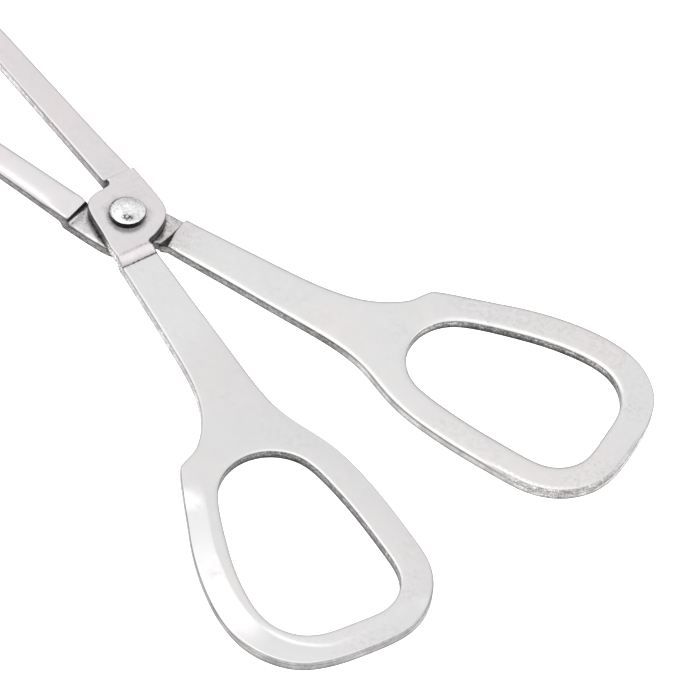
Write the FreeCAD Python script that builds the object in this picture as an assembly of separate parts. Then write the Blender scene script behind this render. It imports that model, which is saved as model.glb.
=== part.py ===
import FreeCAD, Part
import os
import math

# Crucible tongs: two stamped stainless levers crossing at one riveted pivot.
# Frame: origin on the pivot axis, in the plane where the two pivot plates meet.
# +Z is the pivot axis towards the rivet's domed head, +X runs to the jaw tips,
# and the finger loops are at -X. Millimetres.

# ---- driving dimensions -------------------------------------------------
T = 2.5                 # sheet thickness of both levers
PLATE_GAP = 0.05        # each pivot plate's distance from the contact plane
SHANK_R = 2.5           # rivet shank radius
BORE_RUN_R = 2.55       # running bore in the upper lever
HEAD_R = 4.1            # rivet head radius
HEAD_RIM = 1.35         # height of the head's straight rim
HEAD_DOME = 0.65        # height of the dome above the rim
HEAD_GAP = 0.05         # running gap between the head and the upper plate
TAIL_R = 3.9            # peened tail radius
TAIL_RIM = 0.45
TAIL_DOME = 0.65
CLOSE_HALF = 5.8        # degrees each lever turns from rest until the tips meet
BEND_X = 127.0          # where the jaws start to bend down
BEND_R = 60.0           # centre-line radius of that bend
BEND_DEG = 42.0         # how far the jaws are bent down
TOOTH_PITCH = 1.2       # serrations on the gripping edges
TOOTH_FLAT = 0.35
TOOTH_DEPTH = 0.45
TOOTH_COUNT = 9
TIP_GAP_HALF = 0.05     # each gripping edge's distance from the mid-plane when closed

# crease lines of the half-thickness joggles, x = a + b * y
TOP_HANDLE_CREST = (-9.07, 0.17)
TOP_HANDLE_FOOT = (-11.78, 0.17)
BOT_HANDLE_EDGE = (-10.75, 0.18)
BOT_HANDLE_PLATE = (-9.75, 0.18)
TOP_ARM_CREST = (11.45, 0.18)
TOP_ARM_FOOT = (12.10, 0.18)
BOT_ARM_EDGE = (10.42, 0.19)
BOT_ARM_PLATE = (10.12, 0.19)

# ---- lever outline, seen along -Z, for the lever whose handle is at +Y ---
PLATE_LEFT = [(9.20, -2.30), (9.22, -0.90), (9.33, 0.60), (9.20, 2.15), (8.72, 3.55),
    (7.75, 4.72), (6.20, 5.58), (4.20, 6.30), (1.60, 7.05), (-1.50, 8.00), (-4.40, 8.95),
    (-7.70, 9.75)]
HANDLE_OUTER = [(-11.60, 10.78), (-15.43, 11.87), (-19.27, 12.95), (-23.10, 14.03),
    (-26.93, 15.13), (-30.76, 16.22), (-34.58, 17.35), (-38.38, 18.53), (-42.13, 19.87),
    (-45.78, 21.47), (-49.23, 23.45), (-52.36, 25.91), (-55.03, 28.86), (-57.04, 32.29),
    (-57.91, 36.16)]
CORNER = [(-57.91, 36.16), (-58.28, 37.30), (-59.20, 38.12)]
LOOP_OUTER = [(-59.20, 38.12), (-62.78, 40.83), (-66.43, 43.43), (-70.11, 46.01),
    (-73.76, 48.61), (-77.56, 50.99), (-81.51, 53.13), (-85.61, 54.96), (-89.85, 56.44),
    (-94.22, 57.45), (-98.69, 57.75), (-103.10, 57.01), (-107.21, 55.23), (-110.76, 52.51),
    (-113.34, 48.85), (-115.22, 44.78), (-116.64, 40.52), (-117.86, 36.20), (-118.76, 31.80),
    (-118.82, 27.32), (-117.61, 23.02), (-115.25, 19.22), (-111.94, 16.21), (-107.93, 14.21),
    (-103.60, 13.04), (-99.22, 12.06), (-94.83, 11.14), (-90.41, 10.34), (-85.97, 9.69),
    (-81.50, 9.22), (-77.02, 9.08), (-72.54, 9.40), (-68.11, 10.14), (-63.68, 10.85),
    (-59.20, 10.98), (-54.73, 10.55), (-50.31, 9.77), (-45.92, 8.83), (-41.53, 7.88),
    (-37.14, 6.94), (-32.75, 6.01), (-28.36, 5.09), (-23.97, 4.14), (-19.59, 3.15),
    (-15.23, 2.20), (-12.30, 1.62), (-9.90, 1.22)]
LOOP_HOLE = [(-66.31, 21.86), (-69.20, 18.46), (-73.15, 16.41), (-77.60, 15.99),
    (-82.07, 16.29), (-86.53, 16.81), (-90.96, 17.51), (-95.37, 18.35), (-99.76, 19.28),
    (-104.13, 20.30), (-108.25, 22.03), (-111.18, 25.37), (-112.17, 29.70), (-111.37, 34.10),
    (-110.11, 38.40), (-108.74, 42.67), (-106.46, 46.51), (-102.90, 49.20), (-98.59, 50.33),
    (-94.14, 49.88), (-89.84, 48.59), (-85.69, 46.90), (-81.69, 44.86), (-77.82, 42.60),
    (-74.01, 40.23), (-70.34, 37.65), (-67.11, 34.55), (-65.16, 30.54), (-64.89, 26.09)]
NECK_NOTCH = [(-9.90, 1.22), (-9.30, 1.36), (-8.55, 1.20), (-8.20, 0.45), (-8.08, -0.60)]
PLATE_RIGHT = [(-8.08, -0.60), (-7.72, -2.05), (-7.15, -3.70), (-6.40, -5.30),
    (-5.40, -6.68), (-4.20, -7.68), (-2.70, -8.38), (-0.50, -8.92), (2.20, -9.42),
    (5.30, -9.90), (8.30, -10.30), (11.20, -10.62), (15.00, -11.05), (19.50, -11.52),
    (25.00, -12.15)]
ARM_NOTCH = [(11.20, -3.22), (10.35, -3.42), (9.62, -3.20), (9.20, -2.30)]

def arm_inner(x):
    return -3.35 - 0.1400 * (x - 12.1)

def arm_outer(x):
    return -15.15 - 0.1200 * (x - 50.0)

# jaw bow and tip, given with the tongs closed (mid-plane at y = 0)
JAW_INNER = [(119.2, -6.10), (126.0, -7.3), (132.5, -9.9), (139.5, -13.2), (147.0, -14.6),
    (154.0, -13.3), (160.0, -9.6), (164.6, -5.0), (167.6, -1.9), (170.5, -TIP_GAP_HALF)]
JAW_OUTER = [(118.98, -11.30), (123.81, -12.02), (128.75, -13.75), (134.04, -16.28),
    (140.65, -18.73), (148.08, -19.47), (155.52, -17.88), (161.93, -14.16),
    (166.88, -9.47), (170.40, -6.25), (174.30, -4.95), (178.60, -4.50)]
TIP_END = [(178.60, -4.50), (181.30, -4.00), (183.00, -2.80), (183.50, -1.35),
    (183.10, -0.40), (182.30, -TIP_GAP_HALF)]


def to_rest(p):
    a = math.radians(CLOSE_HALF)
    x, y = p
    return (x * math.cos(a) + y * math.sin(a), -x * math.sin(a) + y * math.cos(a))


def vec(p, z=0.0):
    return FreeCAD.Vector(p[0], p[1], z)


def spline(points, t0=None, t1=None, closed=False):
    c = Part.BSplineCurve()
    v = [vec(p) for p in points]
    if closed:
        c.interpolate(Points=v, PeriodicFlag=True)
    elif t0 is not None and t1 is not None:
        c.interpolate(Points=v, InitialTangent=vec(t0), FinalTangent=vec(t1))
    else:
        c.interpolate(Points=v)
    return c.toShape()


def line(a, b):
    return Part.makeLine(vec(a), vec(b))


def unit(a, b):
    d = math.hypot(b[0] - a[0], b[1] - a[1])
    return ((b[0] - a[0]) / d, (b[1] - a[1]) / d)


def outline_face(z0):
    edges = []
    # gripping edge with its serrations, tip to bow
    clean = [TIP_END[-1]]
    for i in range(TOOTH_COUNT):
        x0 = 181.9 - TOOTH_PITCH * i
        clean.append((x0, -TIP_GAP_HALF))
        clean.append((x0 - (TOOTH_PITCH - TOOTH_FLAT) / 2, -TIP_GAP_HALF - TOOTH_DEPTH))
        clean.append((x0 - (TOOTH_PITCH - TOOTH_FLAT), -TIP_GAP_HALF))
    clean.append(JAW_INNER[-1])
    clean = [to_rest(p) for p in clean]
    for a, b in zip(clean[:-1], clean[1:]):
        edges.append(line(a, b))
    # inner side of the bow, bow to arm
    inner = [to_rest(p) for p in JAW_INNER][::-1]
    inner += [(110.0, arm_inner(110.0)), (100.0, arm_inner(100.0))]
    edges.append(spline(inner, unit(inner[0], inner[1]), (-1.0, 0.14)))
    a0 = (100.0, arm_inner(100.0))
    a1 = ARM_NOTCH[0]
    edges.append(line(a0, a1))
    edges.append(spline(ARM_NOTCH, unit(a0, a1), (0.0, 1.0)))
    edges.append(spline(PLATE_LEFT + HANDLE_OUTER, (0.0, 1.0), unit(CORNER[0], CORNER[1])))
    edges.append(spline(CORNER, unit(CORNER[0], CORNER[1]), unit(CORNER[1], CORNER[2])))
    edges.append(spline(LOOP_OUTER, unit(CORNER[1], CORNER[2]), unit(LOOP_OUTER[-2], LOOP_OUTER[-1])))
    edges.append(spline(NECK_NOTCH, unit(LOOP_OUTER[-2], LOOP_OUTER[-1]), (0.12, -1.0)))
    far = (100.0, arm_outer(100.0))
    edges.append(spline(PLATE_RIGHT, (0.12, -1.0), (1.0, -0.12)))
    edges.append(line(PLATE_RIGHT[-1], far))
    outer = [far, (110.0, arm_outer(110.0))] + [to_rest(p) for p in JAW_OUTER]
    edges.append(spline(outer, (1.0, -0.12), unit(outer[-2], outer[-1])))
    tip = [to_rest(p) for p in TIP_END]
    edges.append(spline(tip, unit(outer[-2], outer[-1]), to_rest((-1.0, 0.0))))
    wire = Part.Wire(Part.__sortEdges__(edges))
    hole = Part.Wire([spline(LOOP_HOLE, closed=True)])
    face = Part.Face([wire, hole])
    if not face.isValid():
        face.fix(1e-4, 1e-4, 1e-3)
    face.translate(FreeCAD.Vector(0, 0, z0))
    return face


def base_sheet(bend):
    # handle and jaw arm as one sheet on the mid-plane, with the jaws bent towards bend * Z
    h = T / 2.0
    s = bend
    a = math.radians(BEND_DEG)
    y0 = -60.0

    def v(x, z):
        return FreeCAD.Vector(x, y0, z)

    def on_arc(offset, ang):
        r = BEND_R - s * offset
        return v(BEND_X + r * math.sin(ang), s * BEND_R - s * r * math.cos(ang))

    def straight(offset, run):
        p = on_arc(offset, a)
        return v(p.x + run * math.cos(a), p.z + s * run * math.sin(a))

    run = 30.0
    e = [Part.makeLine(v(-135, h), v(BEND_X, h)),
         Part.Arc(on_arc(h, 0.0), on_arc(h, a / 2), on_arc(h, a)).toShape(),
         Part.makeLine(on_arc(h, a), straight(h, run)),
         Part.makeLine(straight(h, run), straight(-h, run)),
         Part.makeLine(straight(-h, run), on_arc(-h, a)),
         Part.Arc(on_arc(-h, a), on_arc(-h, a / 2), on_arc(-h, 0.0)).toShape(),
         Part.makeLine(v(BEND_X, -h), v(-135, -h)),
         Part.makeLine(v(-135, -h), v(-135, h))]
    return Part.Face(Part.Wire(e)).extrude(FreeCAD.Vector(0, 140, 0))


def slanted_prism(section):
    # closed solid whose corner lines run along x = a + b * y at their own height z
    ys = (-60.0, 80.0)
    ends = [[FreeCAD.Vector(c[0] + c[1] * y, y, z) for c, z in section] for y in ys]
    faces = [Part.Face(Part.makePolygon(ring + [ring[0]])) for ring in ends]
    n = len(section)
    for i in range(n):
        j = (i + 1) % n
        quad = [ends[0][i], ends[0][j], ends[1][j], ends[1][i], ends[0][i]]
        faces.append(Part.Face(Part.makePolygon(quad)))
    solid = Part.Solid(Part.Shell(faces))
    if solid.Volume < 0:
        solid.reverse()
    return solid


def lever(bend):
    h = T / 2.0
    g = PLATE_GAP
    raised = slanted_prism([(TOP_HANDLE_FOOT, h), (TOP_HANDLE_CREST, T + g),
                            (TOP_ARM_CREST, T + g), (TOP_ARM_FOOT, h),
                            (TOP_ARM_FOOT, h - 0.6), (TOP_HANDLE_FOOT, h - 0.6)])
    relief = slanted_prism([(BOT_HANDLE_EDGE, -h), (BOT_HANDLE_PLATE, g),
                            (BOT_ARM_PLATE, g), (BOT_ARM_EDGE, -h),
                            (BOT_ARM_EDGE, -h - 2.0), (BOT_HANDLE_EDGE, -h - 2.0)])
    sheet = base_sheet(bend).fuse(raised).cut(relief)
    prism = outline_face(-50.0).extrude(FreeCAD.Vector(0, 0, 100))
    return prism.common(sheet).removeSplitter()


def single(shape):
    solids = shape.Solids
    assert len(solids) == 1, "expected one solid, got %d" % len(solids)
    return solids[0]


def bore(shape, r):
    cutter = Part.makeCylinder(r, 12, FreeCAD.Vector(0, 0, -6), FreeCAD.Vector(0, 0, 1))
    return single(shape.cut(cutter))


def rivet():
    z1 = T + PLATE_GAP + HEAD_GAP
    z0 = -(T + PLATE_GAP)

    def v(r, z):
        return FreeCAD.Vector(r, 0, z)

    top = z1 + HEAD_RIM + HEAD_DOME
    bot = z0 - TAIL_RIM - TAIL_DOME
    lead = 0.25
    e = [Part.makeLine(v(0, bot), v(0, top))]
    # dome of the head as one arc from the axis to the rim's rounded shoulder
    dx, dz = HEAD_R - 0.35, HEAD_DOME - 0.12
    rr = (dx * dx + dz * dz) / (2 * dz)
    am = math.asin(dx / rr) / 2
    e.append(Part.Arc(v(0, top), v(rr * math.sin(am), top - rr + rr * math.cos(am)),
                      v(dx, top - dz)).toShape())
    e.append(Part.makeLine(v(dx, top - dz), v(HEAD_R, z1 + HEAD_RIM - 0.1)))
    e.append(Part.makeLine(v(HEAD_R, z1 + HEAD_RIM - 0.1), v(HEAD_R, z1)))
    e.append(Part.makeLine(v(HEAD_R, z1), v(SHANK_R, z1)))
    e.append(Part.makeLine(v(SHANK_R, z1), v(SHANK_R, z0)))
    e.append(Part.makeLine(v(SHANK_R, z0), v(TAIL_R, z0)))
    e.append(Part.makeLine(v(TAIL_R, z0), v(TAIL_R, z0 - TAIL_RIM)))
    rt = (TAIL_R ** 2 + TAIL_DOME ** 2) / (2 * TAIL_DOME)
    am = math.asin(TAIL_R / rt) / 2
    e.append(Part.Arc(v(TAIL_R, z0 - TAIL_RIM), v(rt * math.sin(am), bot + rt - rt * math.cos(am)),
                      v(0, bot)).toShape())
    w = Part.Wire(Part.__sortEdges__(e))
    f = Part.Face(w)
    return single(f.revolve(FreeCAD.Vector(0, 0, 0), FreeCAD.Vector(0, 0, 1), 360))


os.makedirs("parts", exist_ok=True)

upper = bore(lever(-1), BORE_RUN_R)
lower = bore(lever(+1), SHANK_R)
lower.rotate(FreeCAD.Vector(0, 0, 0), FreeCAD.Vector(1, 0, 0), 180)
pin = rivet()

for name, shape in (("upper_lever", upper), ("lower_lever", lower), ("pivot_rivet", pin)):
    assert shape.isValid(), name
    shape.exportStep("parts/%s.step" % name)
    b = shape.optimalBoundingBox()
    print(name, "volume %.1f mm3" % shape.Volume,
          "box %.2f %.2f %.2f .. %.2f %.2f %.2f" % (b.XMin, b.YMin, b.ZMin, b.XMax, b.YMax, b.ZMax))
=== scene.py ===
import math

import bpy
import numpy as np
from mathutils import Matrix, Vector
from mathutils.geometry import delaunay_2d_cdt


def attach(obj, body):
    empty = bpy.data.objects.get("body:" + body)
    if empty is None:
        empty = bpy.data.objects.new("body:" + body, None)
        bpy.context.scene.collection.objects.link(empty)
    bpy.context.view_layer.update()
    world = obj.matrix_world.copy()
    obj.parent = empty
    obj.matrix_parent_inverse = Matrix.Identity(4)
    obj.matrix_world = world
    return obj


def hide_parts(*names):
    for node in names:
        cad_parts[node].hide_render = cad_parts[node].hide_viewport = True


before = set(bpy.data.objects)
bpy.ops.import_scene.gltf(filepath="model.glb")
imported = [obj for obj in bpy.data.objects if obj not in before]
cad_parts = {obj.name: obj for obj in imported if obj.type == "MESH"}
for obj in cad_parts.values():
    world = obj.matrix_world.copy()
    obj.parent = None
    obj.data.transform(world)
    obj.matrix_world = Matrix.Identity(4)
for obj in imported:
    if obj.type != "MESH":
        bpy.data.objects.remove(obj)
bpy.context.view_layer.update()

rng = np.random.default_rng(7)

# ---------------------------------------------------------------- dimensions, mm
T = 2.5
H = T / 2
G = 0.05
SHANK_R = 2.5
BORE_RUN_R = 2.55
HEAD_R = 4.1
HEAD_RIM = 1.35
HEAD_DOME = 0.65
CLOSE_HALF = 5.8
BEND_X = 127.0
BEND_R = 60.0
BEND = math.radians(42.0)
TOOTH_PITCH = 1.2
TOOTH_FLAT = 0.35
TOOTH_DEPTH = 0.45
TOOTH_COUNT = 9
TIP_GAP_HALF = 0.05

TOP_HANDLE_CREST = (-9.07, 0.17)
TOP_HANDLE_FOOT = (-11.78, 0.17)
BOT_HANDLE_EDGE = (-10.75, 0.18)
BOT_HANDLE_PLATE = (-9.75, 0.18)
TOP_ARM_CREST = (11.45, 0.18)
TOP_ARM_FOOT = (12.10, 0.18)
BOT_ARM_EDGE = (10.42, 0.19)
BOT_ARM_PLATE = (10.12, 0.19)

PLATE_LEFT = [(9.20, -2.30), (9.22, -0.90), (9.33, 0.60), (9.20, 2.15), (8.72, 3.55),
    (7.75, 4.72), (6.20, 5.58), (4.20, 6.30), (1.60, 7.05), (-1.50, 8.00), (-4.40, 8.95),
    (-7.70, 9.75)]
HANDLE_OUTER = [(-11.60, 10.78), (-15.43, 11.87), (-19.27, 12.95), (-23.10, 14.03),
    (-26.93, 15.13), (-30.76, 16.22), (-34.58, 17.35), (-38.38, 18.53), (-42.13, 19.87),
    (-45.78, 21.47), (-49.23, 23.45), (-52.36, 25.91), (-55.03, 28.86), (-57.04, 32.29),
    (-57.91, 36.16)]
CORNER = [(-57.91, 36.16), (-58.28, 37.30), (-59.20, 38.12)]
LOOP_OUTER = [(-59.20, 38.12), (-62.78, 40.83), (-66.43, 43.43), (-70.11, 46.01),
    (-73.76, 48.61), (-77.56, 50.99), (-81.51, 53.13), (-85.61, 54.96), (-89.85, 56.44),
    (-94.22, 57.45), (-98.69, 57.75), (-103.10, 57.01), (-107.21, 55.23), (-110.76, 52.51),
    (-113.34, 48.85), (-115.22, 44.78), (-116.64, 40.52), (-117.86, 36.20), (-118.76, 31.80),
    (-118.82, 27.32), (-117.61, 23.02), (-115.25, 19.22), (-111.94, 16.21), (-107.93, 14.21),
    (-103.60, 13.04), (-99.22, 12.06), (-94.83, 11.14), (-90.41, 10.34), (-85.97, 9.69),
    (-81.50, 9.22), (-77.02, 9.08), (-72.54, 9.40), (-68.11, 10.14), (-63.68, 10.85),
    (-59.20, 10.98), (-54.73, 10.55), (-50.31, 9.77), (-45.92, 8.83), (-41.53, 7.88),
    (-37.14, 6.94), (-32.75, 6.01), (-28.36, 5.09), (-23.97, 4.14), (-19.59, 3.15),
    (-15.23, 2.20), (-12.30, 1.62), (-9.90, 1.22)]
LOOP_HOLE = [(-66.31, 21.86), (-69.20, 18.46), (-73.15, 16.41), (-77.60, 15.99),
    (-82.07, 16.29), (-86.53, 16.81), (-90.96, 17.51), (-95.37, 18.35), (-99.76, 19.28),
    (-104.13, 20.30), (-108.25, 22.03), (-111.18, 25.37), (-112.17, 29.70), (-111.37, 34.10),
    (-110.11, 38.40), (-108.74, 42.67), (-106.46, 46.51), (-102.90, 49.20), (-98.59, 50.33),
    (-94.14, 49.88), (-89.84, 48.59), (-85.69, 46.90), (-81.69, 44.86), (-77.82, 42.60),
    (-74.01, 40.23), (-70.34, 37.65), (-67.11, 34.55), (-65.16, 30.54), (-64.89, 26.09)]
NECK_NOTCH = [(-9.90, 1.22), (-9.30, 1.36), (-8.55, 1.20), (-8.20, 0.45), (-8.08, -0.60)]
PLATE_RIGHT = [(-8.08, -0.60), (-7.72, -2.05), (-7.15, -3.70), (-6.40, -5.30),
    (-5.40, -6.68), (-4.20, -7.68), (-2.70, -8.38), (-0.50, -8.92), (2.20, -9.42),
    (5.30, -9.90), (8.30, -10.30), (11.20, -10.62), (15.00, -11.05), (19.50, -11.52),
    (25.00, -12.15)]
ARM_NOTCH = [(11.20, -3.22), (10.35, -3.42), (9.62, -3.20), (9.20, -2.30)]
JAW_INNER = [(119.2, -6.10), (126.0, -7.3), (132.5, -9.9), (139.5, -13.2), (147.0, -14.6),
    (154.0, -13.3), (160.0, -9.6), (164.6, -5.0), (167.6, -1.9), (170.5, -TIP_GAP_HALF)]
JAW_OUTER = [(118.98, -11.30), (123.81, -12.02), (128.75, -13.75), (134.04, -16.28),
    (140.65, -18.73), (148.08, -19.47), (155.52, -17.88), (161.93, -14.16),
    (166.88, -9.47), (170.40, -6.25), (174.30, -4.95), (178.60, -4.50)]
TIP_END = [(178.60, -4.50), (181.30, -4.00), (183.00, -2.80), (183.50, -1.35),
    (183.10, -0.40), (182.30, -TIP_GAP_HALF)]


def arm_inner(x):
    return -3.35 - 0.1400 * (x - 12.1)


def arm_outer(x):
    return -15.15 - 0.1200 * (x - 50.0)


def to_rest(p):
    a = math.radians(CLOSE_HALF)
    x, y = p
    return (x * math.cos(a) + y * math.sin(a), -x * math.sin(a) + y * math.cos(a))


def unit(a, b):
    d = math.hypot(b[0] - a[0], b[1] - a[1])
    return ((b[0] - a[0]) / d, (b[1] - a[1]) / d)


# ---------------------------------------------------------------- outline curves
def cubic(points, t0=None, t1=None, step=0.8):
    """C2 cubic through the points, with unit end tangents, sampled every step mm."""
    p = np.array(points, float)
    n = len(p)
    h = np.hypot(*np.diff(p, axis=0).T)
    a = np.zeros((n, n))
    b = np.zeros((n, 2))
    for i in range(1, n - 1):
        a[i, i - 1] = 1 / h[i - 1]
        a[i, i] = 2 * (1 / h[i - 1] + 1 / h[i])
        a[i, i + 1] = 1 / h[i]
        b[i] = 3 * ((p[i] - p[i - 1]) / h[i - 1] ** 2 + (p[i + 1] - p[i]) / h[i] ** 2)
    for row, t, j, hh in ((0, t0, 1, h[0]), (n - 1, t1, n - 2, h[-1])):
        if t is not None:
            t = np.array(t, float)
            a[row, row] = 1
            b[row] = t / np.hypot(*t)
        else:
            a[row, row] = 2 / hh
            a[row, j] = 1 / hh
            lo, hi = (0, 1) if row == 0 else (n - 2, n - 1)
            b[row] = 3 * (p[hi] - p[lo]) / hh ** 2
    m = np.linalg.solve(a, b)
    out = []
    for i in range(n - 1):
        k = max(2, int(math.ceil(h[i] / step)))
        t = np.arange(k)[:, None] / k
        h00 = 2 * t ** 3 - 3 * t ** 2 + 1
        h10 = t ** 3 - 2 * t ** 2 + t
        h01 = -2 * t ** 3 + 3 * t ** 2
        h11 = t ** 3 - t ** 2
        out.append(h00 * p[i] + h10 * h[i] * m[i] + h01 * p[i + 1] + h11 * h[i] * m[i + 1])
    return np.concatenate(out)


def periodic(points, step=0.8):
    pts = list(points)
    wrapped = pts[-4:] + pts + pts[:5]
    dense = cubic(wrapped, step=step)
    start = np.argmin(np.hypot(dense[:, 0] - pts[0][0], dense[:, 1] - pts[0][1])
                      + 1e3 * (np.arange(len(dense)) > len(dense) // 2))
    end = np.argmin(np.hypot(dense[:, 0] - pts[0][0], dense[:, 1] - pts[0][1])
                    + 1e3 * (np.arange(len(dense)) < len(dense) // 2))
    return dense[start:end]


def segment(a, b, step=1.0):
    a, b = np.array(a, float), np.array(b, float)
    k = max(1, int(math.ceil(np.hypot(*(b - a)) / step)))
    return a + (b - a) * np.arange(k)[:, None] / k


def outline():
    parts = []
    teeth = [TIP_END[-1]]
    for i in range(TOOTH_COUNT):
        x0 = 181.9 - TOOTH_PITCH * i
        teeth += [(x0, -TIP_GAP_HALF),
                  (x0 - (TOOTH_PITCH - TOOTH_FLAT) / 2, -TIP_GAP_HALF - TOOTH_DEPTH),
                  (x0 - (TOOTH_PITCH - TOOTH_FLAT), -TIP_GAP_HALF)]
    teeth.append(JAW_INNER[-1])
    teeth = [to_rest(p) for p in teeth]
    for a, b in zip(teeth[:-1], teeth[1:]):
        parts.append(segment(a, b, 0.3))
    inner = [to_rest(p) for p in JAW_INNER][::-1]
    inner += [(110.0, arm_inner(110.0)), (100.0, arm_inner(100.0))]
    parts.append(cubic(inner, unit(inner[0], inner[1]), (-1.0, 0.14)))
    a0 = (100.0, arm_inner(100.0))
    parts.append(segment(a0, ARM_NOTCH[0]))
    parts.append(cubic(ARM_NOTCH, unit(a0, ARM_NOTCH[0]), (0.0, 1.0), 0.25))
    parts.append(cubic(PLATE_LEFT + HANDLE_OUTER, (0.0, 1.0), unit(CORNER[0], CORNER[1]), 0.7))
    parts.append(cubic(CORNER, unit(CORNER[0], CORNER[1]), unit(CORNER[1], CORNER[2]), 0.25))
    parts.append(cubic(LOOP_OUTER, unit(CORNER[1], CORNER[2]), unit(LOOP_OUTER[-2], LOOP_OUTER[-1]), 0.8))
    parts.append(cubic(NECK_NOTCH, unit(LOOP_OUTER[-2], LOOP_OUTER[-1]), (0.12, -1.0), 0.25))
    parts.append(cubic(PLATE_RIGHT, (0.12, -1.0), (1.0, -0.12), 0.7))
    far = (100.0, arm_outer(100.0))
    parts.append(segment(PLATE_RIGHT[-1], far))
    outer = [far, (110.0, arm_outer(110.0))] + [to_rest(p) for p in JAW_OUTER]
    parts.append(cubic(outer, (1.0, -0.12), unit(outer[-2], outer[-1])))
    tip = [to_rest(p) for p in TIP_END]
    parts.append(cubic(tip, unit(outer[-2], outer[-1]), to_rest((-1.0, 0.0)), 0.35))
    return np.concatenate(parts)


def area2(p):
    q = np.roll(p, -1, axis=0)
    return np.sum(p[:, 0] * q[:, 1] - q[:, 0] * p[:, 1])


def ccw(p):
    return p if area2(p) > 0 else p[::-1].copy()


OUT = ccw(outline())
HOLE = ccw(periodic(LOOP_HOLE))[::-1].copy()


def circle(r, n=64):
    t = np.arange(n) * 2 * math.pi / n
    return np.c_[r * np.cos(t), -r * np.sin(t)]


# ---------------------------------------------------------------- plane helpers
def seg_dist(p, loops):
    """Distance from each point to the nearest boundary loop segment, and which loop."""
    best = np.full(len(p), 1e9)
    which = np.zeros(len(p), int)
    for li, loop in enumerate(loops):
        a = loop
        d = np.roll(loop, -1, axis=0) - a
        l2 = (d ** 2).sum(1)
        for s in range(0, len(p), 1500):
            q = p[s:s + 1500]
            ap = q[:, None, :] - a[None]
            t = np.clip((ap * d[None]).sum(2) / l2[None], 0, 1)
            dd = np.sqrt(((ap - t[..., None] * d[None]) ** 2).sum(2)).min(1)
            m = dd < best[s:s + 1500]
            best[s:s + 1500][m] = dd[m]
            which[s:s + 1500][m] = li
    return best, which


def inside(p, loops):
    """Even-odd test against all the loops together."""
    c = np.zeros(len(p), bool)
    for loop in loops:
        a, b = loop, np.roll(loop, -1, axis=0)
        for s in range(0, len(p), 4000):
            q = p[s:s + 4000]
            cond = (a[None, :, 1] > q[:, None, 1]) != (b[None, :, 1] > q[:, None, 1])
            dy = np.where(b[:, 1] == a[:, 1], 1e-12, b[:, 1] - a[:, 1])
            xi = (b[:, 0] - a[:, 0])[None] * (q[:, None, 1] - a[None, :, 1]) / dy[None] + a[None, :, 0]
            c[s:s + 4000] ^= ((cond & (q[:, None, 0] < xi)).sum(1) % 2).astype(bool)
    return c


def loop_normals(loop):
    """Unit normals pointing into the material, for CCW outer loops and CW holes."""
    d = np.roll(loop, -1, axis=0) - np.roll(loop, 1, axis=0)
    n = np.c_[-d[:, 1], d[:, 0]]
    return n / np.hypot(n[:, 0], n[:, 1])[:, None]


def smooth01(t):
    t = np.clip(t, 0, 1)
    return t * t * (3 - 2 * t)


def vnoise(x, y, seed):
    """Smooth value noise in the plane, about -1 to 1."""
    r = np.random.default_rng(seed)
    table = r.uniform(-1, 1, (256, 256))
    xi, yi = np.floor(x).astype(int), np.floor(y).astype(int)
    fx, fy = smooth01(x - xi), smooth01(y - yi)
    g = lambda i, j: table[i % 256, j % 256]
    return ((g(xi, yi) * (1 - fx) + g(xi + 1, yi) * fx) * (1 - fy)
            + (g(xi, yi + 1) * (1 - fx) + g(xi + 1, yi + 1) * fx) * fy)


# ---------------------------------------------------------------- sheet heights
def ramp(x, a, b, za, zb):
    return za + (zb - za) * np.clip((x - a) / (b - a), 0, 1)


# the cutter's run-out beside the handle: crest and foot of the slope, as x for each y
CUT_Y = np.array([-12.0, 0.5, 1.70, 3.53, 5.12, 7.01, 8.62, 9.75, 14.0])
CUT_CREST = np.array([-11.9, -11.85, -11.60, -10.80, -9.90, -9.20, -8.78, -8.55, -7.9])
CUT_FOOT = np.array([-9.25, -9.22, -9.20, -9.10, -8.90, -8.60, -8.25, -8.05, -7.5])


def cut_crest(y):
    return np.interp(y, CUT_Y, CUT_CREST)


def cut_foot(y):
    return np.interp(y, CUT_Y, CUT_FOOT)


def top_raw(x, y):
    u, v = x - TOP_HANDLE_FOOT[1] * y, x - TOP_ARM_CREST[1] * y
    t = np.clip((u - TOP_HANDLE_FOOT[0]) / (TOP_HANDLE_CREST[0] - TOP_HANDLE_FOOT[0]), 0, 1)
    z = H + (T + G - H) * (1 - (1 - t) ** 1.75)
    z2 = ramp(v, TOP_ARM_CREST[0], TOP_ARM_FOOT[0], T + G, H)
    return np.where(x < 2, z, z2)


def bottom_raw(x, y):
    v = x - BOT_ARM_EDGE[1] * y
    c, f = cut_crest(y), cut_foot(y)
    t = np.clip((x - f) / (c - f), 0, 1)
    z = G - (G + H) * t ** 1.5
    e, p = BOT_ARM_EDGE[0], BOT_ARM_PLATE[0]
    z2 = np.interp(v, [p - 0.80, p - 0.40, p - 0.08, p + 0.10, e - 0.06, e + 0.24, e + 0.62],
                   [G, G - 0.10, G - 0.36, -0.80, -H + 0.20, -H + 0.06, -H])
    return np.where(x < 0, z, z2)


def soft(f, x, y, w):
    k = [(-1.0, 0.08), (-0.66, 0.16), (-0.33, 0.18), (0.0, 0.16), (0.33, 0.18), (0.66, 0.16), (1.0, 0.08)]
    return sum(c * f(x + o * w, y) for o, c in k)


def jaw_centre(x, side, s):
    """Height of the sheet's top (side +1) or bottom (side -1) face past the bend."""
    r = BEND_R - s * side * H
    xe = r * math.sin(BEND)
    xa = np.clip(x - BEND_X, 0, xe)
    z = s * BEND_R - s * np.sqrt(r * r - xa ** 2)
    z = z + s * np.maximum(x - BEND_X - xe, 0) * math.tan(BEND)
    return z


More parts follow.
